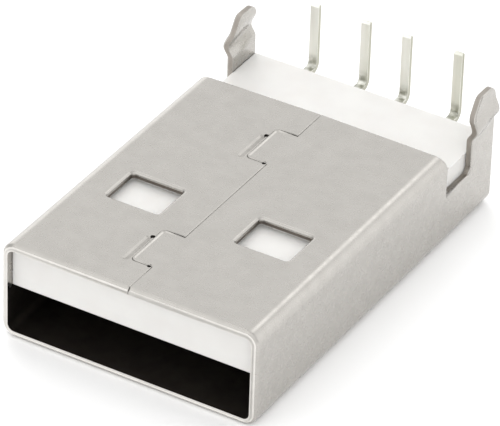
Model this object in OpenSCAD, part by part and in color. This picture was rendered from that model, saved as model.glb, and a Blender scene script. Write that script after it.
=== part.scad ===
// Right-angle USB-A board plug, lying on its flat face.
// X runs across the plug, Y from the mating end to the contact tails, Z up.
// The origin is on the lower edge of the mating end, halfway across.

/* [Shell] */
// Width of the shell outside
shell_w = 12.0; // [11.6:0.1:13]
// Height of the shell outside
shell_h = 4.5; // [4.3:0.1:5.2]
// Thickness of the folded sheet
sheet_t = 0.3; // [0.25:0.01:0.35]
// Outside radius of the four long folds
fold_r = 0.6; // [0.5:0.05:0.8]
// Length of the seamed side, from the mating end to its rear edge
seamed_len = 15.18; // [14:0.05:17]
// Length of the floor and of the low side walls
floor_len = 19.35; // [19.2:0.05:22]
// Height of the low side walls behind the seamed side
low_wall_h = 2.5; // [2.2:0.1:3.2]
// How far the rear edge of each side wall lies behind that of the seamed side
step_lean = 0.25; // [0:0.05:0.6]
// Size of the bevel coined round the mating rim
rim_bevel = 0.15; // [0.05:0.01:0.2]

/* [Windows] */
// Distance from the mating end to the latch windows
window_y = 5.16; // [4:0.02:7]
// Width of one latch window
window_w = 2.5; // [1.5:0.05:3]
// Length of one latch window
window_len = 2.05; // [1.5:0.05:3]
// Distance between the centres of the two windows of one face
window_pitch = 6.1; // [5:0.1:7]
// Radius in the corners of a window
window_r = 0.15; // [0.05:0.01:0.3]
// Depth of the pocket in the housing under each window of the seamed side
pocket_depth = 0.13; // [0.05:0.01:0.3]
// How far that pocket reaches past the window all round
pocket_margin = 0.15; // [0.05:0.05:0.3]

/* [Seam] */
// Width of the gap where the two edges of the sheet meet
seam_gap = 0.03; // [0.03:0.01:0.08]
// Distance from the mating end to the first lock tab
lock_y = 1.8; // [1.2:0.05:2.5]
// Distance from one lock tab to the next
lock_pitch = 8.9; // [6:0.1:10]
// How far a lock tab reaches over the seam
lock_reach = 1.0; // [0.7:0.05:1.2]
// Length of a lock tab along the seam
lock_len = 2.5; // [1.8:0.05:3]
// Radius of a lock tab's corners
lock_r = 0.3; // [0.15:0.05:0.4]
// Radius of the relief hole in a lock tab's root
relief_r = 0.09; // [0.08:0.01:0.15]
// Distance from the seam's middle to a relief hole's middle
relief_off = 0.13; // [0.1:0.01:0.2]
// Radius of the nick beside a lock tab's free edge
nick_r = 0.11; // [0.08:0.01:0.13]
// Distance from a lock tab's front edge to the nick's middle
nick_y = 1.86; // [1.2:0.02:2]
// Length of the strip coined beside a lock tab
coin_len = 2.0; // [1.2:0.05:2.4]
// Distance from a lock tab's free edge to the coined strip
coin_off = 0.06; // [0.05:0.01:0.15]
// How far a coined strip begins before its lock tab
coin_lead = 0.15; // [0:0.05:0.3]
// Width of the strip coined beside a lock tab
coin_w = 0.3; // [0.2:0.05:0.4]
// Depth of the strip coined beside a lock tab
coin_depth = 0.06; // [0.03:0.01:0.1]

/* [Board legs] */
// Width of a board leg, along the side wall
leg_w = 1.9; // [1.5:0.05:2.2]
// Height of a board leg's tip above the floor's underside
leg_top = 5.9; // [5.6:0.1:7]
// Height at which a leg's front edge begins to slope back
leg_shoulder = 4.95; // [4.8:0.05:5.2]
// Slope of a leg's front edge above its shoulder, from upright
leg_slope = 33; // [15:1:35]
// Radius of a leg's tip on the side of the mating end
leg_front_r = 0.4; // [0.3:0.05:0.5]
// Radius of a leg's tip on the rear side
leg_rear_r = 0.5; // [0.4:0.05:0.6]
// Radius in the corner between the low wall and a leg
notch_r = 0.3; // [0.1:0.05:0.5]
// How far the retaining kink pushes a leg outwards
kink_out = 0.22; // [0.1:0.02:0.3]
// Height at which a leg's kink begins, halfway along the leg
kink_low = 4.15; // [3.8:0.05:4.2]
// Height of the outward crest of the kink, halfway along the leg
kink_crest = 4.65; // [4.4:0.05:4.7]
// Height at which a leg is back in the plane of its side wall
kink_high = 5.35; // [4.9:0.05:5.4]
// Rise of the crest towards the rear, in degrees
kink_tilt = 8; // [0:1:12]

/* [Housing] */
// Distance from the mating end to the tongue
tongue_set_back = 0.35; // [0.25:0.01:0.5]
// Clear height between the floor and the tongue
mouth_h = 1.95; // [1.9:0.05:2]
// Depth of the open mouth
mouth_depth = 9.7; // [9:0.1:11]
// Height of the low block behind the seamed side
block_top = 3.4; // [3.3:0.05:3.9]
// Clearance between the housing and the sheet round it
housing_gap = 0.02; // [0.01:0.01:0.05]
// Bevel along the tongue's front edges
tongue_bevel = 0.12; // [0.05:0.01:0.2]

/* [Contacts] */
// Distance between an outer contact and its neighbour
outer_pitch = 2.5; // [2.4:0.05:2.6]
// Distance between the two inner contacts
inner_pitch = 2.0; // [1.9:0.05:2.2]
// Width of a contact's blade
blade_w = 1.0; // [0.9:0.05:1.1]
// Thickness of the contacts' strip
contact_t = 0.25; // [0.2:0.01:0.3]
// Distance from the mating end to the blades of the outer contacts
outer_blade_y = 1.24; // [1:0.02:1.6]
// How much shorter the blades of the inner contacts are
inner_short = 1.0; // [0.5:0.1:1.5]
// How far a blade stands proud of the tongue
blade_proud = 0.04; // [0.02:0.01:0.06]
// Width of a contact's tail
tail_w = 0.42; // [0.35:0.01:0.5]
// Height of the tails' underside where they leave the housing
tail_z = 2.65; // [2.5:0.05:2.8]
// Distance from the mating end to the upright part of the tails
tail_y = 20.48; // [20.4:0.02:21]
// Height of the tails' tips
tail_top = 5.95; // [5.6:0.05:7]
// Inside radius of the tails' bend
tail_bend_r = 0.2; // [0.15:0.01:0.3]
// Bevel on the tips of the blades and of the tails
tip_bevel = 0.07; // [0.04:0.01:0.09]
// Clearance between a contact and its slot in the housing
slot_gap = 0.01; // [0.01:0.005:0.02]
// Distance from the end of the mouth to the contacts' joggle
joggle_set = 1.5; // [1:0.1:2]
// Length of the joggle, and of the flat behind it up to the neck
joggle_len = 1.0; // [0.8:0.1:1.2]

/* [Hidden] */

$fn = 48;
// Cuts run this far past the faces that they open
past = 1;
half_w = shell_w / 2;
inner_r = fold_r - sheet_t;

// The four contacts across the plug, and where each one's blade begins
contact_x = [
  -inner_pitch / 2 - outer_pitch,
  -inner_pitch / 2,
  inner_pitch / 2,
  inner_pitch / 2 + outer_pitch,
];
inner_blade_y = outer_blade_y + inner_short;
blade_y = [outer_blade_y, inner_blade_y, inner_blade_y, outer_blade_y];

// Heights of the tongue and of the blades that lie in it
tongue_z = sheet_t + mouth_h;
blade_z = tongue_z - blade_proud;

// A contact rises from blade height to tail height inside the housing,
// and narrows from blade to tail behind that joggle
joggle_y = mouth_depth + joggle_set;
neck_y = joggle_y + 2 * joggle_len;

// Upright section across Y: w wide, from z = low to z = high, with corners
// of radius r
module rounded_section(w, low, high, r) {
  translate([0, (low + high) / 2])
    union() {
      square([w, high - low - 2 * r], center = true);
      square([w - 2 * r, high - low], center = true);
      for (sx = [-1, 1], sz = [-1, 1])
        translate([sx * (w / 2 - r), sz * ((high - low) / 2 - r)])
          circle(r);
    }
}

// Stands a drawing of X and Z up and runs it from y = from to y = to
module along_y(from, to) {
  translate([0, to, 0])
    rotate([90, 0, 0])
      linear_extrude(to - from)
        children();
}

// Lays a drawing of Y and Z across the plug, w wide about its middle
module along_x(w) {
  translate([-w / 2, 0, 0])
    rotate([90, 0, 90])
      linear_extrude(w)
        children();
}

// The solid that fills the shell, with the rim's bevel at the mating end
module bevelled_bar() {
  mid_w = shell_w - 2 * fold_r;
  mid_h = shell_h - 2 * fold_r;
  // Flat of the floor and of the seamed side
  along_x(mid_w)
    polygon([
      [0, rim_bevel], [rim_bevel, 0], [floor_len, 0],
      [floor_len, shell_h], [rim_bevel, shell_h], [0, shell_h - rim_bevel],
    ]);
  // Flats of the side walls
  translate([0, 0, fold_r])
    linear_extrude(mid_h)
      polygon([
        [-half_w + rim_bevel, 0], [-half_w, rim_bevel], [-half_w, floor_len],
        [half_w, floor_len], [half_w, rim_bevel], [half_w - rim_bevel, 0],
      ]);
  // Folds
  for (sx = [-1, 1], z = [fold_r, shell_h - fold_r])
    translate([sx * (half_w - fold_r), 0, z])
      rotate([-90, 0, 0])
        rotate_extrude()
          polygon([
            [0, 0], [fold_r - rim_bevel, 0], [fold_r, rim_bevel],
            [fold_r, floor_len], [0, floor_len],
          ]);
}

// Outline of a lock tab that reaches from the right edge over the seam,
// grown by g on its three free sides
module lock_outline(g) {
  r = lock_r + g;
  left = -seam_gap / 2 - lock_reach - g;
  right = seam_gap / 2;
  low = -g;
  high = lock_len + g;
  union() {
    translate([left + r, low])
      square([right - left - r, high - low]);
    translate([left, low + r])
      square([right - left, high - low - 2 * r]);
    for (y = [low + r, high - r])
      translate([left + r, y])
        circle(r);
  }
}

// Everything that is cut through the seamed side between the two edges of
// the sheet: the straight gap, the outline round each lock tab, its relief
// hole at the root and the nick beside its free edge
module seam_cut() {
  lock_at = [lock_y, lock_y + lock_pitch];
  starts = [-past, lock_at[0] + lock_len, lock_at[1] + lock_len];
  ends = [lock_at[0], lock_at[1], seamed_len + past];
  for (i = [0 : 2])
    translate([-seam_gap / 2, starts[i]])
      square([seam_gap, ends[i] - starts[i]]);
  for (y = lock_at)
    translate([0, y]) {
      difference() {
        lock_outline(seam_gap);
        lock_outline(0);
      }
      translate([-relief_off, 0])
        circle(relief_r);
      translate([-lock_reach - seam_gap - nick_r, nick_y])
        circle(nick_r);
    }
}

// Strip pressed into the sheet beside each lock tab
module coin_marks() {
  for (y = [lock_y, lock_y + lock_pitch])
    translate([-seam_gap / 2 - lock_reach - coin_off - coin_w, y - coin_lead])
      union() {
        translate([0, coin_w / 2])
          square([coin_w, coin_len - coin_w]);
        for (end = [coin_w / 2, coin_len - coin_w / 2])
          translate([coin_w / 2, end])
            circle(coin_w / 2);
      }
}

// The latch windows of one face, grown by g on every side
module windows(g) {
  for (sx = [-1, 1])
    translate([sx * window_pitch / 2, window_y])
      rounded_section(window_w + 2 * g, -g, window_len + g, window_r + g);
}

// Outline of a leg above the low wall, across X: a round corner at its foot,
// a sloping shoulder in front and a round tip
module leg_outline() {
  leg_y = floor_len - leg_w;
  front_z = leg_top - leg_front_r;
  front_y = leg_y + leg_front_r / cos(leg_slope) + (front_z - leg_shoulder) * tan(leg_slope);
  rear_y = floor_len - leg_rear_r;
  rear_z = leg_top - leg_rear_r;
  polygon([
    [leg_y, low_wall_h], [leg_y, leg_shoulder],
    // Where the slope meets the front arc
    [front_y - leg_front_r * cos(leg_slope), front_z + leg_front_r * sin(leg_slope)],
    [front_y, front_z], [front_y, leg_top],
    [rear_y, leg_top], [rear_y, rear_z], [floor_len, rear_z], [floor_len, low_wall_h],
  ]);
  translate([front_y, front_z])
    circle(leg_front_r);
  translate([rear_y, rear_z])
    circle(leg_rear_r);
  difference() {
    translate([leg_y - notch_r, low_wall_h])
      square(notch_r);
    translate([leg_y - notch_r, low_wall_h + notch_r])
      circle(notch_r);
  }
}

// How far a leg is pushed outwards at a height: up to the crest and back
function kink(z) =
  z <= kink_low || z >= kink_high ? 0
  : z <= kink_crest
    ? kink_out * (1 - cos(180 * (z - kink_low) / (kink_crest - kink_low))) / 2
    : kink_out * (1 + cos(180 * (z - kink_crest) / (kink_high - kink_crest))) / 2;

// Section of the right-hand leg across Y, from below its foot to past its tip
module leg_section() {
  steps = 12;
  heights = concat(
    [fold_r],
    [for (i = [0 : steps]) kink_low + (kink_high - kink_low) * i / steps],
    [leg_top + past]
  );
  polygon(concat(
    [for (z = heights) [half_w - sheet_t + kink(z), z]],
    [for (i = [len(heights) - 1 : -1 : 0]) [half_w + kink(heights[i]), heights[i]]]
  ));
}

// The right-hand leg: its kinked section runs up towards the rear at the
// kink's tilt, and the outline is cut from it
module leg() {
  mid_y = floor_len - leg_w / 2;
  intersection() {
    translate([0, mid_y, kink_crest])
      rotate([kink_tilt, 0, 0])
        translate([0, 0, -kink_crest])
          along_y(-leg_w - past, leg_w + past)
            leg_section();
    along_x(shell_w + 4 * past)
      leg_outline();
  }
}

module shell() {
  color("#c4c2be") {
    difference() {
      bevelled_bar();
      // Inside of the tube
      along_y(-past, floor_len + past)
        rounded_section(shell_w - 2 * sheet_t, sheet_t, shell_h - sheet_t, inner_r);
      // Step down behind the seamed side, which slants over the folds only
      along_x(shell_w + 2 * past)
        polygon([
          [seamed_len, shell_h + past], [seamed_len, shell_h],
          [seamed_len + step_lean, shell_h - fold_r],
          [seamed_len + step_lean, low_wall_h],
          [floor_len + past, low_wall_h], [floor_len + past, shell_h + past],
        ]);
      // Windows in the floor and in the seamed side
      translate([0, 0, -past])
        linear_extrude(shell_h + 2 * past)
          windows(0);
      translate([0, 0, shell_h / 2])
        linear_extrude(shell_h)
          seam_cut();
      translate([0, 0, shell_h - coin_depth])
        linear_extrude(past)
          coin_marks();
    }
    // Board legs, one on each side wall
    for (side = [0, 1])
      mirror([side, 0, 0])
        leg();
  }
}

// Outline of a contact across X: blade, joggle, tail, bend and upright,
// grown by g on its flat faces and starting at y = from
module contact_outline(from, g) {
  low = blade_z - g;
  t = contact_t + 2 * g;
  tail_low = tail_z - g;
  bend_y = tail_y - tail_bend_r;
  bend_z = tail_z + contact_t + tail_bend_r;
  // Blade, with its lower lead-in bevel
  polygon([
    [from - g + tip_bevel, low], [joggle_y, low], [joggle_y, low + t],
    [from - g, low + t], [from - g, low + tip_bevel],
  ]);
  // Joggle
  polygon([
    [joggle_y, low], [joggle_y + joggle_len, tail_low],
    [joggle_y + joggle_len, tail_low + t], [joggle_y, low + t],
  ]);
  // Tail up to the bend
  translate([joggle_y + joggle_len, tail_low])
    square([bend_y - joggle_y - joggle_len, t]);
  // Bend
  intersection() {
    translate([bend_y, bend_z])
      difference() {
        circle(tail_bend_r + contact_t + g);
        circle(tail_bend_r - g);
      }
    translate([bend_y, 0])
      square([tail_y, bend_z]);
  }
  // Upright, with a bevelled tip
  polygon([
    [tail_y - g, bend_z], [tail_y - g + t, bend_z],
    [tail_y - g + t, tail_top - tip_bevel],
    [tail_y - g + t - tip_bevel, tail_top],
    [tail_y - g + tip_bevel, tail_top], [tail_y - g, tail_top - tip_bevel],
  ]);
}

// One contact about x = 0, grown by g on every side
module contact_solid(from, g) {
  intersection() {
    along_x(blade_w + 2 * g)
      contact_outline(from, g);
    translate([-shell_w, 0, 0])
      cube([2 * shell_w, neck_y + g, 2 * tail_top]);
  }
  intersection() {
    along_x(tail_w + 2 * g)
      contact_outline(from, g);
    translate([-shell_w, neck_y, 0])
      cube([2 * shell_w, 2 * tail_y, 2 * tail_top]);
  }
}

module contact(i) {
  color("#b5b49c")
    translate([contact_x[i], 0, 0])
      contact_solid(blade_y[i], 0);
}

module housing() {
  w = shell_w - 2 * sheet_t - 2 * housing_gap;
  low = sheet_t + housing_gap;
  high = shell_h - sheet_t - housing_gap;
  color("#f0eeec")
    difference() {
      along_y(tongue_set_back, floor_len)
        rounded_section(w, low, high, inner_r);
      // Open mouth below the tongue
      translate([-shell_w / 2, 0, 0])
        cube([shell_w, mouth_depth, tongue_z]);
      // Bevels along the tongue's front edges
      along_x(shell_w)
        polygon([
          [0, tongue_z - past], [tongue_set_back + tongue_bevel, tongue_z - past],
          [tongue_set_back + tongue_bevel, tongue_z],
          [tongue_set_back, tongue_z + tongue_bevel], [0, tongue_z + tongue_bevel],
        ]);
      // Low block behind the seamed side
      translate([-shell_w / 2, seamed_len, block_top])
        cube([shell_w, floor_len, shell_h]);
      // Pockets under the windows of the seamed side
      translate([0, 0, high - pocket_depth])
        linear_extrude(past)
          windows(pocket_margin);
      // Slots for the contacts
      for (i = [0 : 3])
        translate([contact_x[i], 0, 0])
          contact_solid(blade_y[i], slot_gap);
    }
}

module contact_1() { contact(0); }
module contact_2() { contact(1); }
module contact_3() { contact(2); }
module contact_4() { contact(3); }

shell();
housing();
contact_1();
contact_2();
contact_3();
contact_4();
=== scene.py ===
"""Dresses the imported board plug: a folded plated sheet, a white moulding and four tinned strips.

Lengths are in millimetres up to the last step, where each finished mesh is turned to metres.
X runs across the plug, Y from the mating end to the contact tails, and Z up.
"""

import math

import bpy
import numpy as np
from mathutils import Matrix, Vector
from mathutils.geometry import delaunay_2d_cdt


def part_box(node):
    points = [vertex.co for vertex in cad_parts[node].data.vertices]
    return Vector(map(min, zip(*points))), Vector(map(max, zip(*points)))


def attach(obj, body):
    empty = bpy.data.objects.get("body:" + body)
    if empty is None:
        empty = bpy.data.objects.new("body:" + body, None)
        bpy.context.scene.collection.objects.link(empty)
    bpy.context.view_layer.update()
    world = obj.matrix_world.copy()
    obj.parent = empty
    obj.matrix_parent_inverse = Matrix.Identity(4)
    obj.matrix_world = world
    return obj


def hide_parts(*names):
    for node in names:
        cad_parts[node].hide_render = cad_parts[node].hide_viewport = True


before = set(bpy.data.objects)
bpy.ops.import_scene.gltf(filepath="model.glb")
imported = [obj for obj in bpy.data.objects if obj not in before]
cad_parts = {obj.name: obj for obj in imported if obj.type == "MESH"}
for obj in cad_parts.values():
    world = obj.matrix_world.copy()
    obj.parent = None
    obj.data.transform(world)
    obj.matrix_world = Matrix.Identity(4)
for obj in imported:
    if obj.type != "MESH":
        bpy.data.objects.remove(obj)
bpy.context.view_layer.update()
MM = 0.001

# ---------------------------------------------------------------- sizes


def box_mm(node):
    """Lowest and highest corner of a CAD node, in millimetres."""
    low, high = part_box(node)
    return np.array(low) / MM, np.array(high) / MM


shell_high = box_mm("shell")[1]

# The sheet: outside width and height, thickness, and outside radius of its folds
WIDTH = 12.0
HEIGHT = 4.5
SHEET = 0.3
FOLD = 0.6
FLOOR_LEN = shell_high[1]
SEAMED_LEN = 15.18
STEP_LEAN = 0.25
LOW_WALL = 2.5
RIM_BEVEL = 0.15
# Y at which the blend behind the bevel has died out
BEVEL_END = 3 * RIM_BEVEL
# Rounding of the sheet's edges: round the mouth, where the punch rolled them over, on the legs,
# left of the seam, round the lock tabs, right of the seam, and on the inside everywhere
ROUND = dict(rim=0.05, punched=0.15, leg=0.08, seam_left=0.02, tab=0.04, seam_right=0.015, inside=0.02)

# Latch windows
WINDOW = dict(y=5.16, w=2.5, length=2.05, pitch=6.1, r=0.15)

# Seam, its lock tabs, the holes beside them and the strips coined along them
GAP = 0.014
LOCK = dict(y=1.8, pitch=8.9, reach=1.0, length=2.5, r=0.2)
LOCK_STARTS = (LOCK["y"], LOCK["y"] + LOCK["pitch"])
# The recess is a little longer than its tab
LOCK_REAR_GAP = 0.045
RELIEF = dict(off=0.13, r=0.08)
NICK = dict(y=1.86, r=0.1)
COIN = dict(length=2.0, w=0.3, depth=0.06, off=0.06, lead=0.15, ramp=0.09)
# Lip that the coining raises along a tab's free edge, from the edge inwards, and how it fades in
# from the tab's root
LIP = dict(height=0.03, start=0.04, end=0.15, root=0.1, fade=0.2)
# How far, and over what width, the left edge of the seam dips, and how it fades out by a tab
DIP = dict(depth=0.018, w=0.09, clear=0.05, fade=0.15)

# Board legs
LEG = dict(w=1.9, top=shell_high[2], shoulder=4.95, slope=33, front_r=0.4, rear_r=0.5, notch_r=0.3)
KINK = dict(out=0.22, low=4.15, crest=4.65, high=5.35, tilt=8)

# Contacts: how many, strip thickness, widths of blade and tail, their undersides, the places
# along Y of the joggle and the neck, the inner radius of the bend, the bevel of the tips, and the
# radii of the strip's corners and of the edges of its bevels
CONTACTS = 4
STRIP = 0.25
BLADE_W, TAIL_W = 1.0, 0.42
BLADE_Z, TAIL_Z = 2.21, 2.65
JOGGLE = (11.2, 12.2)
NECK = 13.2
BEND_R = 0.2
TIP_BEVEL = 0.07
CORNER_R = 0.035
SOFT_R = 0.02
# Underside of the tongue
TONGUE_Z = 2.25

# ---------------------------------------------------------------- materials


def linear(hex_colour):
    """An sRGB hex colour such as "#c4c2be" as linear red, green, blue and alpha."""
    parts = [int(hex_colour[i:i + 2], 16) / 255 for i in (1, 3, 5)]
    return [p / 12.92 if p <= 0.04045 else ((p + 0.055) / 1.055) ** 2.4 for p in parts] + [1.0]


def add(tree, kind, inputs=(), **settings):
    """Adds one node: settings are its own values, inputs are pairs of a socket and the value or
    the output that it takes."""
    node = tree.nodes.new(kind)
    for name, value in settings.items():
        setattr(node, name, value)
    for name, value in inputs:
        if isinstance(value, bpy.types.NodeSocket):
            tree.links.new(value, node.inputs[name])
        else:
            node.inputs[name].default_value = value
    return node


def new_material(name):
    """An empty node material, its tree and its output."""
    material = bpy.data.materials.new(name)
    material.use_nodes = True
    tree = material.node_tree
    tree.nodes.clear()
    return material, tree, add(tree, "ShaderNodeOutputMaterial")


def combine(tree, operation, first, second):
    """One number from two, such as their sum, product or larger value."""
    return add(tree, "ShaderNodeMath", [(0, first), (1, second)], operation=operation).outputs[0]


def smooth_step(tree, value, start, end, low=0.0, high=1.0):
    """Goes from low to high by a smooth step while the value goes from start to end."""
    inputs = [("Value", value), ("From Min", start), ("From Max", end), ("To Min", low), ("To Max", high)]
    return add(tree, "ShaderNodeMapRange", inputs, interpolation_type="SMOOTHSTEP").outputs["Result"]


def noise(tree, coords, size_mm, detail):
    """Noise with features of about size_mm."""
    inputs = [("Vector", coords), ("Scale", 1 / (size_mm * MM)), ("Detail", detail)]
    return add(tree, "ShaderNodeTexNoise", inputs).outputs["Fac"]


def cloud(tree, coords, size_mm, detail, low, high):
    """Soft noise, as a number that swings from low to high."""
    return smooth_step(tree, noise(tree, coords, size_mm, detail), 0.2, 0.8, low, high)


def blend(tree, factor, first, second):
    """A colour between two colours."""
    tones = [(0, factor), (6, first), (7, second)]
    return add(tree, "ShaderNodeMix", tones, data_type="RGBA").outputs[2]


def grain_bump(tree, coords, size_mm, depth_mm, *normal):
    """Normal of a fine grain of the given feature size and depth, on the given normal if any."""
    inputs = [("Distance", depth_mm * MM), ("Height", noise(tree, coords, size_mm, 1.0))]
    inputs += [("Normal", n) for n in normal]
    return add(tree, "ShaderNodeBump", inputs).outputs["Normal"]


def painted_shade_band(tree, place, low, high, soft):
    """1 between two heights in millimetres and 0 beyond them, with steps that are soft long, and
    broken up by clouds of 0.25 mm."""
    height = add(tree, "ShaderNodeSeparateXYZ", [(0, place)]).outputs["Z"]
    rise = smooth_step(tree, height, (low - soft) * MM, low * MM)
    fall = smooth_step(tree, height, (high + soft) * MM, high * MM)
    band = combine(tree, "MULTIPLY", rise, fall)
    return combine(tree, "MULTIPLY", band, cloud(tree, place, 0.25, 2.0, 0.1, 1.0))


def plated_metal(name, colour, shade, roughness, stretch=(1.0, 1.0, 1.0), painted_shade=None):
    """Satin nickel or tin over stamped strip: an even metal whose reflections are soft. Clouds of
    about 0.6 mm are a little duller and darker, and a grain of 0.12 mm, drawn coarser than the
    real plate so that it shows, breaks the reflections up. The stretch turns both into streaks
    along the axes on which it is small, as rolling leaves on narrow strip. Where given, the last
    argument is a dark colour and two heights, between which that colour is painted on as shade."""
    material, tree, out = new_material(name)
    place = add(tree, "ShaderNodeTexCoord").outputs["Object"]
    coords = add(tree, "ShaderNodeVectorMath", [(0, place), (1, stretch)], operation="MULTIPLY").outputs[0]
    tint = blend(tree, cloud(tree, coords, 0.6, 3.0, 0.0, 1.0), linear(colour), linear(shade))
    # A broken band of painted shade between two heights
    if painted_shade:
        dark, low, high = painted_shade
        tint = blend(tree, painted_shade_band(tree, place, low, high, 0.6), tint, linear(dark))
    dull = cloud(tree, coords, 0.35, 2.0, roughness - 0.04, roughness + 0.04)
    grain = grain_bump(tree, coords, 0.12, 0.0012)
    inputs = [("Base Color", tint), ("Metallic", 1.0), ("Roughness", dull), ("Normal", grain)]
    shader = add(tree, "ShaderNodeBsdfPrincipled", inputs)
    tree.links.new(shader.outputs[0], out.inputs["Surface"])
    return material


def moulded_plastic(name, colour, shade):
    """White glass-filled moulding: off-white, with a soft sheen, edges rounded by 0.05 mm, a
    barely uneven skin that the mould's spark-eroded faces leave, and light that goes 0.15 mm
    deep, which keeps its narrow shadows pale."""
    material, tree, out = new_material(name)
    coords = add(tree, "ShaderNodeTexCoord").outputs["Object"]
    tint = blend(tree, cloud(tree, coords, 1.2, 2.0, 0.0, 1.0), linear(colour), linear(shade))
    rounded = add(tree, "ShaderNodeBevel", [("Radius", 0.05 * MM)], samples=6).outputs["Normal"]
    shader = add(
        tree,
        "ShaderNodeBsdfPrincipled",
        [
            ("Base Color", tint),
            ("Roughness", cloud(tree, coords, 0.4, 2.0, 0.42, 0.52)),
            ("IOR", 1.53),
            ("Subsurface Weight", 0.6),
            ("Subsurface Radius", (1.0, 0.95, 0.9)),
            ("Subsurface Scale", 0.15 * MM),
            ("Normal", grain_bump(tree, coords, 0.15, 0.0015, rounded)),
        ],
    )
    tree.links.new(shader.outputs[0], out.inputs["Surface"])
    return material


# The faces of the shell: an even satin grey with soft clouds
plate = plated_metal("satin nickel plated steel", "#bab7b2", "#b4b1ac", 0.28)
# Cut walls, which outline the windows, the seam and the step: sheared steel, darkened further with painted
# shade
sheared = plated_metal("sheared steel edge with painted shade", "#7a736c", "#665f59", 0.45)
# Cut walls round the legs, paler, with less painted shade than the other cut walls
trimmed = plated_metal("cut steel edge of the legs, with less painted shade", "#a8a29b", "#958f88", 0.4)
# Front face of the sheet round the mouth: a brighter colour, a painted highlight that stands in for the
# reflection of the bright floor in front
rim_highlight = plated_metal("mouth rim with painted highlight", "#e2dfda", "#dad7d2", 0.45)
# Floor of the strips coined beside the lock tabs, rougher than the face round them and a shade darker, the
# darker colour being painted shade of the groove
coined_groove_shade = plated_metal("coined strip floor with painted groove shade", "#b6b3ae", "#a3a09b", 0.42)
# Inside of the tube, painted dark as shade, which keeps the mouth dark
inside = plated_metal("inside of the sheet painted dark as shade", "#4a4540", "#403b37", 0.5)
# Housing: a warm white with a soft sheen, which glows a little in its shadows
white = moulded_plastic("white glass filled nylon", "#e7e6e3", "#e3e1de")
# Contacts: pale with lengthwise streaks, with a broken band of painted shade round the bend at
# the foot of the tails, and with darker cut edges
ALONG_STRIP = (1.0, 0.06, 0.06)
tinned = plated_metal("tin plated bronze", "#f4f4ee", "#dcdcd0", 0.34, ALONG_STRIP, ("#8c8c80", 3.0, 3.05))
cut_bronze = plated_metal("sheared edge of tinned bronze", "#b7b6a8", "#a3a293", 0.4, ALONG_STRIP)

# ---------------------------------------------------------------- the blank of the shell

# Places along the sheet, measured on its outside from the middle of the floor to the seam
FLAT_END = WIDTH / 2 - FOLD
QUARTER = FOLD * math.pi / 2
WALL_START = FLAT_END + QUARTER
WALL_END = WALL_START + HEIGHT - 2 * FOLD
TOP_START = WALL_END + QUARTER
MIDDLE = TOP_START + FLAT_END
SEAM = MIDDLE - GAP / 2
LOW_WALL_END = WALL_START + LOW_WALL - FOLD
# Where the walls pass the underside of the tongue
TONGUE_LEVEL = WALL_START + TONGUE_Z - FOLD
LEG_Y = FLOOR_LEN - LEG["w"]
# Behind this the wall stands straight up into a leg
LEG_ZONE = SEAMED_LEN + STEP_LEAN + 0.5
# Steps in which a quarter fold, the rounding of an edge, the kink and the slanted rear edge are
# drawn
FOLD_STEPS = 14
EDGE_STEPS = 4
KINK_STEPS = 35
SLANT_STEPS = 39
# How far lines and shapes run on past the places that they serve
FOLD_GUARD = 0.04
KINK_GUARD = 0.25
SEAM_GUARD = 1.0
# Material slots of the shell
PLATED, SHEARED, SHADED, TRIMMED, RIM_HIGHLIGHT, COINED = range(6)


def kink(y, z):
    """How far a leg is pushed outwards at y and z: half a cosine up to the crest and half back,
    on heights that are measured across a crest which rises to the rear."""
    tilt = math.radians(KINK["tilt"])
    mid_y = FLOOR_LEN - LEG["w"] / 2
    h = KINK["crest"] + (z - KINK["crest"]) * math.cos(tilt) - (y - mid_y) * math.sin(tilt)
    up = (1 - np.cos(np.pi * (h - KINK["low"]) / (KINK["crest"] - KINK["low"]))) / 2
    down = (1 + np.cos(np.pi * (h - KINK["crest"]) / (KINK["high"] - KINK["crest"]))) / 2
    kinked = (h > KINK["low"]) & (h < KINK["high"])
    return KINK["out"] * np.where(kinked, np.where(h < KINK["crest"], up, down), 0.0)


def folded_height(along):
    """Height of the outside face at a place along the sheet where the tube is folded shut."""
    low_arc = np.clip((along - FLAT_END) / FOLD, 0, math.pi / 2)
    high_arc = np.clip((along - WALL_END) / FOLD, 0, math.pi / 2)
    straight = np.clip(along, WALL_START, WALL_END) - WALL_START
    return FOLD * (1 - np.cos(low_arc)) + straight + FOLD * np.sin(high_arc)


def rim_depth(y):
    """How far the coined bevel lies below the outside face: a 45 degree slope at the mating end,
    blended into the face by half a hyperbola."""
    soft = 0.025
    drop = RIM_BEVEL - y
    rest = RIM_BEVEL - BEVEL_END
    level = (rest + math.hypot(rest, soft)) / 2
    return np.where(y < BEVEL_END, np.maximum((drop + np.hypot(drop, soft)) / 2 - level, 0.0), 0.0)


def coin_centre():
    """X of the middle of the strips coined beside the lock tabs."""
    return -GAP / 2 - LOCK["reach"] - COIN["off"] - COIN["w"] / 2


def coin_depth(x, y):
    """How far those strips are pressed in: full inside a stadium, with a smooth step at its
    edge, 3t^2 - 2t^3."""
    depth = np.zeros_like(x)
    for start in LOCK_STARTS:
        first = start - COIN["lead"] + COIN["w"] / 2
        last = first + COIN["length"] - COIN["w"]
        away = np.hypot(x - coin_centre(), y - np.clip(y, first, last))
        ramp = np.clip((COIN["w"] / 2 - away) / COIN["ramp"], 0, 1)
        depth = np.maximum(depth, COIN["depth"] * ramp**2 * (3 - 2 * ramp))
    return depth


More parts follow.
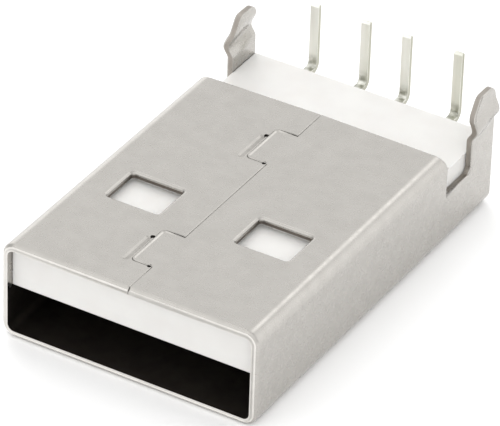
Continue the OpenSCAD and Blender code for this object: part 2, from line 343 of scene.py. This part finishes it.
def lip_height(s, y):
    """How far the lip along the free edge of a lock tab rises: full at the edge, and down by a
    smooth step, 3t^2 - 2t^3, away from it. The distance is taken to the tab's rounded outline."""
    height = np.zeros_like(y)
    r = LOCK["r"]
    tip = MIDDLE + GAP / 2 + LOCK["reach"]
    for start in LOCK_STARTS:
        end = start + LOCK["length"]
        ds = np.maximum(s - (tip - r), 0)
        dy = np.maximum(np.maximum(start + r - y, y - (end - r)), 0)
        away = r - np.hypot(ds, dy)
        fade = np.clip((s - MIDDLE - LIP["root"]) / LIP["fade"], 0, 1)
        t = np.clip((LIP["end"] - away) / (LIP["end"] - LIP["start"]), 0, 1) * (away > -0.01)
        height = np.maximum(height, LIP["height"] * fade * t**2 * (3 - 2 * t))
    return height


def seam_dip(s, y):
    """How far the left edge of the seam dips between the lock tabs: a parabola that is level
    where it leaves the face."""
    middles = [at + LOCK["length"] / 2 for at in LOCK_STARTS]
    clear = np.min([np.abs(y - middle) for middle in middles], axis=0) - LOCK["length"] / 2
    fade = np.clip((clear - DIP["clear"]) / DIP["fade"], 0, 1)
    t = np.clip(1 - (np.abs(s) - SEAM) / -DIP["w"], 0, 1)
    return DIP["depth"] * fade * t**2 * (y > RIM_BEVEL)


def fold_sheet(s, y, below=0.0, outside=True):
    """Carries points of the flat blank to the folded sheet. s runs along the section from the
    middle of the floor, positive to the right. The section is a rounded rectangle whose folds
    keep their outside length, and behind LEG_ZONE it goes straight up the kinked legs. A point
    lies below the outside face by the bevel, the coined strips and the depth given, or at that
    depth alone on the inside."""
    side, along = np.sign(s), np.abs(s)
    low_arc = np.clip((along - FLAT_END) / FOLD, 0, math.pi / 2)
    leg = (y > LEG_ZONE) & (along > LOW_WALL_END - 0.1)
    high_arc = np.where(leg, 0, np.clip((along - WALL_END) / FOLD, 0, math.pi / 2))
    turn = low_arc + high_arc
    over = np.where(leg, 0, np.clip(along - TOP_START, 0, None))
    x = np.minimum(along, FLAT_END) + FOLD * np.sin(low_arc)
    x = x - FOLD * (1 - np.cos(high_arc)) - over
    z = FOLD * (1 - np.cos(low_arc)) + FOLD * np.sin(high_arc)
    z = z + np.clip(along - WALL_START, 0, np.where(leg, np.inf, WALL_END - WALL_START))
    x = x + np.where(leg, kink(y, z), 0.0)
    if outside:
        on_top = (along > TOP_START) & ~leg
        pressed = coin_depth(side * x, y) + seam_dip(s, y)
        below = below + rim_depth(y) + np.where(on_top & (side < 0), pressed, 0.0)
        below = below - np.where(on_top & (side > 0), lip_height(along, y), 0.0)
    return np.stack([side * (x - below * np.sin(turn)), y, z + below * np.cos(turn)], axis=1)


def sheet_frame(s, y, outside=True):
    """Unit tangents of the folded sheet along s and along Y, and the outward normal."""
    step = 1e-4
    along_s = fold_sheet(s + step, y, outside=outside) - fold_sheet(s - step, y, outside=outside)
    along_y = fold_sheet(s, y + step, outside=outside) - fold_sheet(s, y - step, outside=outside)
    along_s /= np.linalg.norm(along_s, axis=1, keepdims=True)
    along_y /= np.linalg.norm(along_y, axis=1, keepdims=True)
    normal = np.cross(along_y, along_s)
    return along_s, along_y, normal / np.linalg.norm(normal, axis=1, keepdims=True)


def arc(s, y, r, start, end, steps):
    """Points of a circular arc in the blank, from one angle in degrees to another."""
    t = np.radians(np.linspace(start, end, steps + 1))
    return np.stack([s + r * np.cos(t), y + r * np.sin(t)], 1)


def rounded_box(s0, s1, y0, y1, r):
    """Closed outline of a rectangle in the blank with rounded corners."""
    corners = [(s1 - r, y1 - r, 0), (s0 + r, y1 - r, 90), (s0 + r, y0 + r, 180), (s1 - r, y0 + r, 270)]
    outline = np.concatenate([arc(s, y, r, turn, turn + 90, 6) for s, y, turn in corners])
    return np.concatenate([outline, outline[:1]])


def lock_outline(root, tip, y0, y1, r):
    """Open outline of a lock tab, from its root round its tip and back."""
    low, high = arc(tip - r, y0 + r, r, -90, 0, 8), arc(tip - r, y1 - r, r, 0, 90, 8)
    return np.concatenate([[[root, y0]], low, high, [[root, y1]]])


def inside_rounded(s, y, s0, s1, y0, y1, r):
    """True where a point lies in a rectangle with rounded corners."""
    ds = np.maximum(np.maximum(s0 + r - s, s - s1 + r), 0)
    dy = np.maximum(np.maximum(y0 + r - y, y - y1 + r), 0)
    return np.hypot(ds, dy) < r


def rear_edge(along):
    """Rear edge of the tube, which slants over the upper folds only."""
    drop = np.clip((HEIGHT - folded_height(along)) / FOLD, 0, 1)
    return SEAMED_LEN + STEP_LEAN * drop


def leg_outline():
    """Outline of a leg from the low wall up its front edge, over the tip and down its rear edge,
    as places along the sheet and y. The foot is a quarter circle, and the shoulder slopes back
    until it touches the front arc."""
    slope = math.radians(LEG["slope"])
    foot, r = LEG["notch_r"], LEG["front_r"]
    low = LOW_WALL_END
    to_s = WALL_START - FOLD
    front_z = LEG["top"] - r
    front_y = LEG_Y + r / math.cos(slope) + (front_z - LEG["shoulder"]) * math.tan(slope)
    notch = arc(low + foot, LEG_Y - foot, foot, 180, 90, 8)
    shoulder = [[LEG["shoulder"] + to_s, LEG_Y]]
    front = arc(front_z + to_s, front_y, r, LEG["slope"] - 90, 0, 8)
    rear_r = LEG["rear_r"]
    rear = arc(LEG["top"] - rear_r + to_s, FLOOR_LEN - rear_r, rear_r, 0, 90, 10)
    return np.concatenate([notch, shoulder, front, rear, [[low, FLOOR_LEN]]])


def in_polygon(s, y, outline):
    """True where a point lies inside a closed outline, by the number of edges to its right."""
    a, b = outline, np.roll(outline, -1, axis=0)
    across = (a[:, 1] > y[:, None]) != (b[:, 1] > y[:, None])
    rise = np.where(b[:, 1] == a[:, 1], 1.0, b[:, 1] - a[:, 1])
    meets = a[:, 0] + (y[:, None] - a[:, 1]) * (b[:, 0] - a[:, 0]) / rise
    return (across & (s[:, None] < meets)).sum(axis=1) % 2 == 1


def window_edges(side, top):
    """Edges of one window along the sheet and along Y, in the seamed side or in the floor."""
    near, far = (WINDOW["pitch"] - WINDOW["w"]) / 2, (WINDOW["pitch"] + WINDOW["w"]) / 2
    if top:
        near, far = MIDDLE - far, MIDDLE - near
    low, high = sorted([side * near, side * far])
    return low, high, WINDOW["y"], WINDOW["y"] + WINDOW["length"]


def lock_holes(start):
    """X, Y and radius of the relief hole at a lock tab's root and of the nick beside its tip."""
    return (
        (-RELIEF["off"], start, RELIEF["r"]),
        (-LOCK["reach"] - GAP - NICK["r"], start + NICK["y"], NICK["r"]),
    )


def in_blank(s, y):
    """True where a point of the plane is sheet: floor and low walls, then the tube, the legs and
    the lock tabs, less the windows, the recesses for the tabs and the holes beside them."""
    along, right = np.abs(s), s > 0
    sheet = (along < LOW_WALL_END) & (y > 0) & (y < FLOOR_LEN)
    sheet |= (along < SEAM) & (y > 0) & (y < rear_edge(along))
    sheet |= (along >= LOW_WALL_END) & in_polygon(along, y, leg_outline())
    for start in LOCK_STARTS:
        end = start + LOCK["length"]
        tab = inside_rounded(along, y, SEAM - SEAM_GUARD, SEAM + GAP + LOCK["reach"], start, end, LOCK["r"])
        sheet |= right & tab
        recess_tip = SEAM - GAP - LOCK["reach"]
        recess = inside_rounded(
            along, y, recess_tip, SEAM + SEAM_GUARD, start - GAP, end + LOCK_REAR_GAP, LOCK["r"] + GAP
        )
        sheet &= right | ~recess
        for x_hole, y_hole, r_hole in lock_holes(start):
            sheet &= np.hypot(along - MIDDLE + np.sign(s) * x_hole, y - y_hole) > r_hole
    for side in (-1, 1):
        for top in (False, True):
            sheet &= ~inside_rounded(s, y, *window_edges(side, top), WINDOW["r"])
    return sheet


def blank_lines():
    """Every line that the triangles of the blank must follow, each as an array of points."""
    folds = np.concatenate([[-FOLD_GUARD], np.linspace(0, QUARTER, FOLD_STEPS + 1), [QUARTER + FOLD_GUARD]])
    # Levels of the kink, drawn past both ends of its tilted crest
    levels = np.linspace(KINK["low"] - KINK_GUARD, KINK["high"] + KINK_GUARD, KINK_STEPS + 1)
    step_s = np.linspace(LOW_WALL_END, TOP_START, SLANT_STEPS + 1)
    lines = [
        np.array([(-SEAM, 0), (SEAM, 0)]),
        np.array([(-LOW_WALL_END, FLOOR_LEN), (LOW_WALL_END, FLOOR_LEN)]),
    ]
    for side in (-1, 1):
        across = np.array([side, 1.0])
        lines.append(np.array([(TONGUE_LEVEL, 0), (TONGUE_LEVEL, BEVEL_END)]) * across)
        for s in FLAT_END + folds:
            lines.append(np.array([(s, 0), (s, FLOOR_LEN)]) * across)
        for s in WALL_END + folds:
            lines.append(np.array([(s, 0), (s, rear_edge(s))]) * across)
        for s in levels + WALL_START - FOLD:
            lines.append(np.array([(s, LEG_Y), (s, FLOOR_LEN)]) * across)
        step = np.stack([step_s, rear_edge(step_s)], 1)
        lines.append(np.concatenate([step, [[SEAM, SEAMED_LEN]]]) * across)
        lines.append(np.concatenate([step[:1], leg_outline()]) * across)
        lines.append(np.array([(LOW_WALL_END, LEG_Y - LEG["notch_r"]), (LOW_WALL_END, FLOOR_LEN)]) * across)
        lines.append(np.array([(SEAM, 0), (SEAM, SEAMED_LEN)]) * across)
        for top in (False, True):
            lines.append(rounded_box(*window_edges(side, top), WINDOW["r"]))
        for start in LOCK_STARTS:
            for x_hole, y_hole, r_hole in lock_holes(start):
                lines.append(arc(side * MIDDLE - x_hole, y_hole, r_hole, 0, 360, 20))
    for start in LOCK_STARTS:
        end = start + LOCK["length"]
        tip = SEAM + GAP + LOCK["reach"]
        lines.append(lock_outline(SEAM, tip, start, end, LOCK["r"]))
        for inset in np.linspace(LIP["start"], LIP["end"], 5):
            y0, y1 = start + inset, end - inset
            lines.append(lock_outline(MIDDLE + LIP["root"], tip - inset, y0, y1, LOCK["r"] - inset))
        tip = -SEAM + GAP + LOCK["reach"]
        lines.append(lock_outline(-SEAM, tip, start - GAP, end + LOCK_REAR_GAP, LOCK["r"] + GAP))
        s, y0 = -MIDDLE - coin_centre(), start - COIN["lead"]
        for inset in COIN["ramp"] * np.linspace(0, 1, 5):
            half = COIN["w"] / 2 - inset
            lines.append(rounded_box(s - half, s + half, y0 + inset, y0 + COIN["length"] - inset, half))
    for inset in DIP["w"] * np.array([0.3, 0.55, 0.8, 1.0]):
        lines.append(np.array([(-SEAM + inset, RIM_BEVEL), (-SEAM + inset, SEAMED_LEN)]))
    clear, gone = DIP["clear"], DIP["clear"] + DIP["fade"]
    for start in LOCK_STARTS:
        end = start + LOCK["length"]
        for y in (start - gone, start - clear, end + clear, end + gone):
            lines.append(np.array([(-SEAM, y), (-SEAM + DIP["w"], y)]))
    for y in RIM_BEVEL * np.array([0.35, 0.6, 0.8, 0.9, 1, 1.1, 1.2, 1.4, 1.8, 2.4, 3]):
        lines.append(np.array([(-SEAM, y), (SEAM, y)]))
    return lines


def triangulate(lines):
    """Constrained Delaunay triangles between the lines, as points and triples of indices."""
    points, edges = [], []
    for line in lines:
        first = len(points)
        points.extend(Vector(p) for p in line.tolist())
        edges.extend((i, i + 1) for i in range(first, len(points) - 1))
    made = delaunay_2d_cdt(points, edges, [], 0, 1e-5)
    return np.array([tuple(p) for p in made[0]]), np.array(made[2])


def edge_radius(s, y):
    """Rounding of the sheet's outside edges: rolled over by the punch at the windows, at the legs
    and on the left of the seam, and tight round the lock tabs and on the right of the seam."""
    near_seam = (np.abs(s) > MIDDLE - LOCK["reach"] - 0.3) & (y > RIM_BEVEL)
    by_tab = np.any([(y > at - 0.25) & (y < at + LOCK["length"] + 0.25) for at in LOCK_STARTS], axis=0)
    right = np.where(by_tab, ROUND["tab"], ROUND["seam_right"])
    by_seam = np.where(s < 0, ROUND["seam_left"], right)
    rolled = np.where(y > LEG_ZONE, ROUND["leg"], ROUND["punched"])
    return np.where(near_seam, by_seam, np.where(y > RIM_BEVEL, rolled, ROUND["rim"]))


def outward_of_edge(flat, border):
    """Unit direction in the blank that points out of the sheet at every border point, longer at
    corners so that an offset keeps its width, and at most 1.5."""
    run = flat[border[:, 1]] - flat[border[:, 0]]
    out = np.stack([run[:, 1], -run[:, 0]], 1) / np.linalg.norm(run, axis=1, keepdims=True)
    total = np.zeros_like(flat)
    np.add.at(total, border[:, 0], out)
    np.add.at(total, border[:, 1], out)
    length = np.maximum(np.linalg.norm(total, axis=1, keepdims=True), 1e-9)
    # The mean of two unit normals is shorter than 1 by the cosine of half their angle
    return total / length * np.minimum(2 / length, 1.5)


def mesh_object(name, points_mm, faces, materials, slots, normals=None):
    """A mesh object at the origin from points in millimetres, with a material slot and, where
    given, one normal a point."""
    mesh = bpy.data.meshes.new(name)
    mesh.from_pydata((np.asarray(points_mm) * MM).tolist(), [], faces)
    for material in materials:
        mesh.materials.append(material)
    mesh.polygons.foreach_set("material_index", np.asarray(slots, dtype=np.int32))
    mesh.polygons.foreach_set("use_smooth", np.ones(len(faces), dtype=bool))
    if normals is not None:
        mesh.normals_split_custom_set_from_vertices(normals.tolist())
    piece = bpy.data.objects.new(name, mesh)
    bpy.context.scene.collection.objects.link(piece)
    return piece


def make_shell():
    """The folded sheet. The flat blank is cut into triangles along its outlines and fold lines
    and carried to the outside and the inside of the folded sheet. Along every edge the two faces
    are drawn back by a radius and joined by a strip: a quarter circle outside, the sheared wall
    and a tighter quarter circle inside. Every normal comes from the folded surface."""
    flat, triangles = triangulate(blank_lines())
    centres = flat[triangles].mean(axis=1)
    triangles = triangles[in_blank(centres[:, 0], centres[:, 1])]
    used, triangles = np.unique(triangles, return_inverse=True)
    triangles = triangles.reshape(-1, 3)
    flat = flat[used]
    a, b, c = flat[triangles].transpose(1, 0, 2)
    area = (b[:, 0] - a[:, 0]) * (c[:, 1] - a[:, 1]) - (b[:, 1] - a[:, 1]) * (c[:, 0] - a[:, 0])
    triangles, area = triangles[np.abs(area) > 1e-9], area[np.abs(area) > 1e-9]
    triangles[area < 0] = triangles[area < 0][:, ::-1]

    # An edge that only one triangle uses is an edge of the sheet
    edges = triangles[:, [0, 1, 1, 2, 2, 0]].reshape(-1, 2)
    _, index, uses = np.unique(np.sort(edges, axis=1), axis=0, return_index=True, return_counts=True)
    border = edges[index[uses == 1]]
    rim, place = np.unique(border, return_inverse=True)
    place = place.reshape(-1, 2)

    out = outward_of_edge(flat, border)
    round_out = edge_radius(flat[:, 0], flat[:, 1])
    round_in = ROUND["inside"]
    on_rim = np.zeros(len(flat), dtype=bool)
    on_rim[rim] = True

    def layer(points, back, below, outside, lean):
        """Points drawn back from the edge, at a depth, with normals that lean outwards."""
        s, y = (flat[points] - out[points] * back[:, None]).T
        at = flat[points]
        tangent_s, tangent_y, normal = sheet_frame(at[:, 0], at[:, 1], outside)
        edge = tangent_s * out[points][:, :1] + tangent_y * out[points][:, 1:]
        edge /= np.maximum(np.linalg.norm(edge, axis=1, keepdims=True), 1e-9)
        face = normal if outside else -normal
        tilted = math.cos(lean) * face + math.sin(lean) * edge
        return fold_sheet(s, y, below, outside), tilted

    every = np.arange(len(flat))
    layers = [layer(every, np.where(on_rim, round_out, 0.0), 0.0, True, 0.0)]
    for k in range(1, EDGE_STEPS + 1):
        t = math.pi / 2 * k / EDGE_STEPS
        r = round_out[rim]
        layers.append(layer(rim, r * (1 - math.sin(t)), r * (1 - math.cos(t)), True, t))
    for k in range(EDGE_STEPS, 0, -1):
        t = math.pi / 2 * k / EDGE_STEPS
        back = np.full(len(rim), round_in * (1 - math.sin(t)))
        layers.append(layer(rim, back, SHEET - round_in * (1 - math.cos(t)), False, t))
    layers.append(layer(every, np.where(on_rim, round_in, 0.0), SHEET, False, 0.0))

    starts = np.cumsum([0] + [len(points) for points, _ in layers])
    # Index of each border point in every layer
    lanes = [rim] + [starts[k] + np.arange(len(rim)) for k in range(1, len(layers) - 1)] + [starts[-2] + rim]
    s_mid, y_mid = flat[triangles].mean(axis=1).T
    x_mid = -MIDDLE - s_mid
    # The coined strips' floor, past their left ramp, takes the painted groove shade
    past_ramp = x_mid > coin_centre() - COIN["w"] / 2 + COIN["ramp"]
    coined = (s_mid < 0) & past_ramp & (coin_depth(x_mid, y_mid) > 0.01)
    faces, slots = [triangles[:, ::-1]], [np.where(coined, COINED, PLATED)]
    quads = []
    for k in range(len(lanes) - 1):
        upper, lower = lanes[k][place], lanes[k + 1][place]
        quads.append(np.stack([upper[:, 0], upper[:, 1], lower[:, 1], lower[:, 0]], 1))
        border_y = flat[border][:, :, 1].max(axis=1)
        # Cut walls of the tube take the sheared steel with painted shade, those of the legs the paler cut
        # steel
        wall = np.where(border_y > SEAMED_LEN + STEP_LEAN, TRIMMED, SHEARED) if k == EDGE_STEPS else PLATED
        # The front face of the sheet round the mouth takes the painted highlight
        slots.append(np.where(border_y > 1e-4, wall, RIM_HIGHLIGHT))
    faces.append(triangles + starts[-2])
    # Inside faces of the tube take the painted shade, except a strip behind the mouth above the underside of
    # the tongue; the legs' inner faces keep the plate
    by_tongue = (y_mid < BEVEL_END) & (np.abs(s_mid) > TONGUE_LEVEL)
    slots.append(np.where((y_mid < SEAMED_LEN) & ~by_tongue, SHADED, PLATED))

    points = np.concatenate([p for p, _ in layers])
    normals = np.concatenate([n for _, n in layers])
    polygons = faces[0].tolist() + np.concatenate(quads).tolist() + faces[1].tolist()
    return mesh_object(
        "shell_sheet",
        points,
        polygons,
        [plate, sheared, inside, trimmed, rim_highlight, coined_groove_shade],
        np.concatenate(slots),
        normals,
    )


shell = make_shell()
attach(shell, "root")
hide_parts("shell")

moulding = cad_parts["housing"]
moulding.data.materials.clear()
moulding.data.materials.append(white)

# ---------------------------------------------------------------- contacts


def contact_stations(start, tail_y, top):
    """Stations along a contact from the blade's tip to the tail's tip, as columns: y and z of the
    middle of the strip, turn of its upper face in radians, half the width, how far the strip goes
    below and above its middle, and how far the skin leans towards the tail."""
    half = STRIP / 2
    wide, narrow = BLADE_W / 2, TAIL_W / 2
    bevel, soft = TIP_BEVEL, SOFT_R
    low, high = BLADE_Z + half, TAIL_Z + half
    blade = [
        (start, low, 0, wide - soft, half - bevel, half - soft, -1.1),
        (start + soft, low, 0, wide, half - bevel + soft, half, -0.78),
        (start + bevel - soft / 2, low, 0, wide, half - soft / 2, half, -0.78),
        (start + bevel + soft, low, 0, wide, half, half, 0),
    ]
    middle = [
        (JOGGLE[0], low, 0, wide, half, half, 0),
        (JOGGLE[1], high, 0, wide, half, half, 0),
        (NECK - soft, high, 0, wide, half, half, 0),
        (NECK + soft, high, 0, narrow, half, half, 0),
    ]
    r = BEND_R + half
    bend_y, bend_z = tail_y - BEND_R, TAIL_Z + STRIP + BEND_R
    turn = np.linspace(0, math.pi / 2, 17)
    sizes = np.outer([narrow, half, half, 0], np.ones_like(turn))
    bend = np.stack([bend_y + r * np.sin(turn), bend_z - r * np.cos(turn), turn, *sizes], 1)
    up, right_angle = tail_y + half, math.pi / 2
    tip = [
        (up, top - bevel - soft, right_angle, narrow, half, half, 0),
        (up, top - bevel + soft / 2, right_angle, narrow, half - soft / 2, half - soft / 2, 0.78),
        (up, top - soft, right_angle, narrow, half - bevel + soft, half - bevel + soft, 0.78),
        (up, top, right_angle, narrow - soft, half - bevel, half - bevel, 1.1),
    ]
    return np.concatenate([blade, middle, bend, tip])


def make_contact(i):
    """A contact: a rounded rectangle of strip carried along a path that runs level under the
    tongue, steps up, narrows, turns up by a quarter circle and ends in a bevelled tip. A point is
    the path's place plus its distance across X and along the normal of the strip's upper face."""
    low, high = box_mm(f"contact_{i}")
    y, z, turn, half_w, under, over, lean = contact_stations(low[1], high[1] - STRIP, high[2]).T[:, :, None]
    r = CORNER_R
    corner = np.linspace(0, math.pi / 2, 5)
    angle = np.concatenate([corner + k * math.pi / 2 for k in range(4)])
    right = np.repeat([1.0, -1.0, -1.0, 1.0], 5)
    upper = np.repeat([1.0, 1.0, -1.0, -1.0], 5)
    across = right * (half_w - r) + r * np.cos(angle)
    along_normal = np.where(upper > 0, over - r, r - under) + r * np.sin(angle)
    x = (low[0] + high[0]) / 2 + across
    points = np.stack([x, y - np.sin(turn) * along_normal, z + np.cos(turn) * along_normal], 2)
    flat_n = np.sin(angle) + 0 * turn
    skin = np.stack([np.cos(angle) + 0 * turn, -np.sin(turn) * flat_n, np.cos(turn) * flat_n], 2)
    forward = np.stack([0 * turn, np.cos(turn), np.sin(turn)], 2)
    normals = np.cos(lean)[:, :, None] * skin + np.sin(lean)[:, :, None] * forward
    rings, size = points.shape[:2]
    first = np.arange(rings - 1)[:, None] * size + np.arange(size)
    second = np.arange(rings - 1)[:, None] * size + (np.arange(size) + 1) % size
    quads = np.stack([first, first + size, second + size, second], 2).reshape(-1, 4).tolist()
    caps = [list(range(size)), list(range((rings - 1) * size, rings * size))[::-1]]
    faces = quads + caps
    # The flats across X are the strip's sheared edges
    side_flat = np.isin(np.arange(size), (9, 19)).astype(int)
    slots = np.concatenate([np.tile(side_flat, rings - 1), [0, 0]])
    points, normals = points.reshape(-1, 3), normals.reshape(-1, 3)
    piece = mesh_object(f"contact_strip_{i}", points, faces, [tinned, cut_bronze], slots, normals)
    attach(piece, "root")
    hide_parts(f"contact_{i}")


for i in range(1, CONTACTS + 1):
    make_contact(i)

# ---------------------------------------------------------------- studio


def ray_is(tree, *kinds):
    """1 for a ray of one of these kinds, and 0 for any other."""
    path = add(tree, "ShaderNodeLightPath")
    found = path.outputs[kinds[0]]
    for kind in kinds[1:]:
        found = combine(tree, "MAXIMUM", found, path.outputs[kind])
    return found


WHITE = (1.0, 1.0, 1.0, 1.0)
FLOOR_SIZE = 4.0
floor_mesh = bpy.data.meshes.new("studio_floor")
half = FLOOR_SIZE / 2
corners = [(-half, -half, 0), (half, -half, 0), (half, half, 0), (-half, half, 0)]
floor_mesh.from_pydata(corners, [], [(0, 1, 2, 3)])
floor = bpy.data.objects.new("studio_floor", floor_mesh)
bpy.context.scene.collection.objects.link(floor)
# Just clear of the sheet, so that the two faces don't coincide
floor.location.z = -0.01 * MM
paper, tree, out = new_material("white studio paper")
lit = add(tree, "ShaderNodeBsdfDiffuse", [("Color", linear("#f0f0f0"))])
# The lens and the metal see the paper as white, with the plug's shadow on it. The colour is a
# little over white, because the tent lights the paper a little under it
seen = add(tree, "ShaderNodeBsdfDiffuse", [("Color", (1.06, 1.06, 1.06, 1.0))])
shown = ray_is(tree, "Is Camera Ray", "Is Glossy Ray", "Is Transmission Ray")
mix = add(tree, "ShaderNodeMixShader", [(0, shown), (1, lit.outputs[0]), (2, seen.outputs[0])])
tree.links.new(mix.outputs[0], out.inputs["Surface"])
floor_mesh.materials.append(paper)

# White tent round the plug: its plain level, and soft lights on it. Each light is a direction,
# the angles in degrees at which it is full and gone, and how much it adds
TENT = 0.8
TENT_LIGHTS = (
    ((-0.47, 0.70, 0.53), 18, 60, 0.36),
    ((0.08, 0.73, 0.68), 3, 13, 1.1),
    ((0.66, 0.72, 0.20), 12, 40, 0.65),
    ((-0.41, -0.56, 0.72), 10, 26, 0.25),
    ((-0.68, 0.72, 0.14), 8, 18, 0.6),
    ((-0.41, 0.20, 0.89), 6, 18, 0.5),
    ((0.15, -0.85, 0.50), 20, 70, 0.5),
    ((0.0, 0.0, 1.0), 10, 50, 0.1),
)


def tent_strength(tree):
    """Brightness of the tent in a direction: the plain level plus each light's smooth step."""
    direction = add(tree, "ShaderNodeTexCoord").outputs["Generated"]
    total = TENT
    for axis, full, gone, gain in TENT_LIGHTS:
        axes = [(0, direction), (1, Vector(axis).normalized())]
        towards = add(tree, "ShaderNodeVectorMath", axes, operation="DOT_PRODUCT").outputs["Value"]
        outer, inner = math.cos(math.radians(gone)), math.cos(math.radians(full))
        total = combine(tree, "ADD", total, smooth_step(tree, towards, outer, inner, 0.0, gain))
    return total


# A soft sun from behind on the left, which only matt faces show
SUN = dict(strength=0.4, width=25, towards=(-0.55, 0.6, 0.58))
sun = bpy.data.objects.new("sun", bpy.data.lights.new("sun", "SUN"))
sun.data.energy = SUN["strength"]
sun.data.angle = math.radians(SUN["width"])
sun.visible_glossy = False
sun.rotation_euler = Vector(SUN["towards"]).to_track_quat("Z", "Y").to_euler()
bpy.context.scene.collection.objects.link(sun)

world = bpy.data.worlds.new("studio")
bpy.context.scene.world = world
world.use_nodes = True
tree = world.node_tree
tree.nodes.clear()
tent = add(tree, "ShaderNodeBackground", [("Color", WHITE), ("Strength", tent_strength(tree))])
backdrop = add(tree, "ShaderNodeBackground", [("Color", WHITE), ("Strength", 1.0)])
# The metal shows the tent itself, which is that white with the lights on it
shown = ray_is(tree, "Is Camera Ray", "Is Transmission Ray")
mix = add(tree, "ShaderNodeMixShader", [(0, shown), (1, tent.outputs[0]), (2, backdrop.outputs[0])])
add(tree, "ShaderNodeOutputWorld", [("Surface", mix.outputs[0])])

# ---------------------------------------------------------------- camera

SENSOR = 36.0
LENS = 350.834
VIEW = dict(azimuth=29.956, elevation=34.012, roll=1.914, distance=0.201659)
AIM = Vector((-0.000478, 0.010302, 0.002116))


def place_camera():
    """A long lens that looks down on the mating end from its right."""
    a, e, r = (math.radians(VIEW[k]) for k in ("azimuth", "elevation", "roll"))
    back = Vector((math.sin(a) * math.cos(e), -math.cos(a) * math.cos(e), math.sin(e)))
    level = Vector((0, 0, 1)).cross(back).normalized()
    upright = back.cross(level)
    right = level * math.cos(r) + upright * math.sin(r)
    up = upright * math.cos(r) - level * math.sin(r)
    data = bpy.data.cameras.new("camera")
    data.sensor_width = SENSOR
    data.lens = LENS
    data.clip_start, data.clip_end = 0.01, 10
    camera = bpy.data.objects.new("camera", data)
    turn = Matrix((right, up, back)).transposed().to_4x4()
    camera.matrix_world = Matrix.Translation(AIM + back * VIEW["distance"]) @ turn
    bpy.context.scene.collection.objects.link(camera)
    bpy.context.scene.camera = camera


place_camera()
bpy.context.scene.view_settings.view_transform = "Standard"
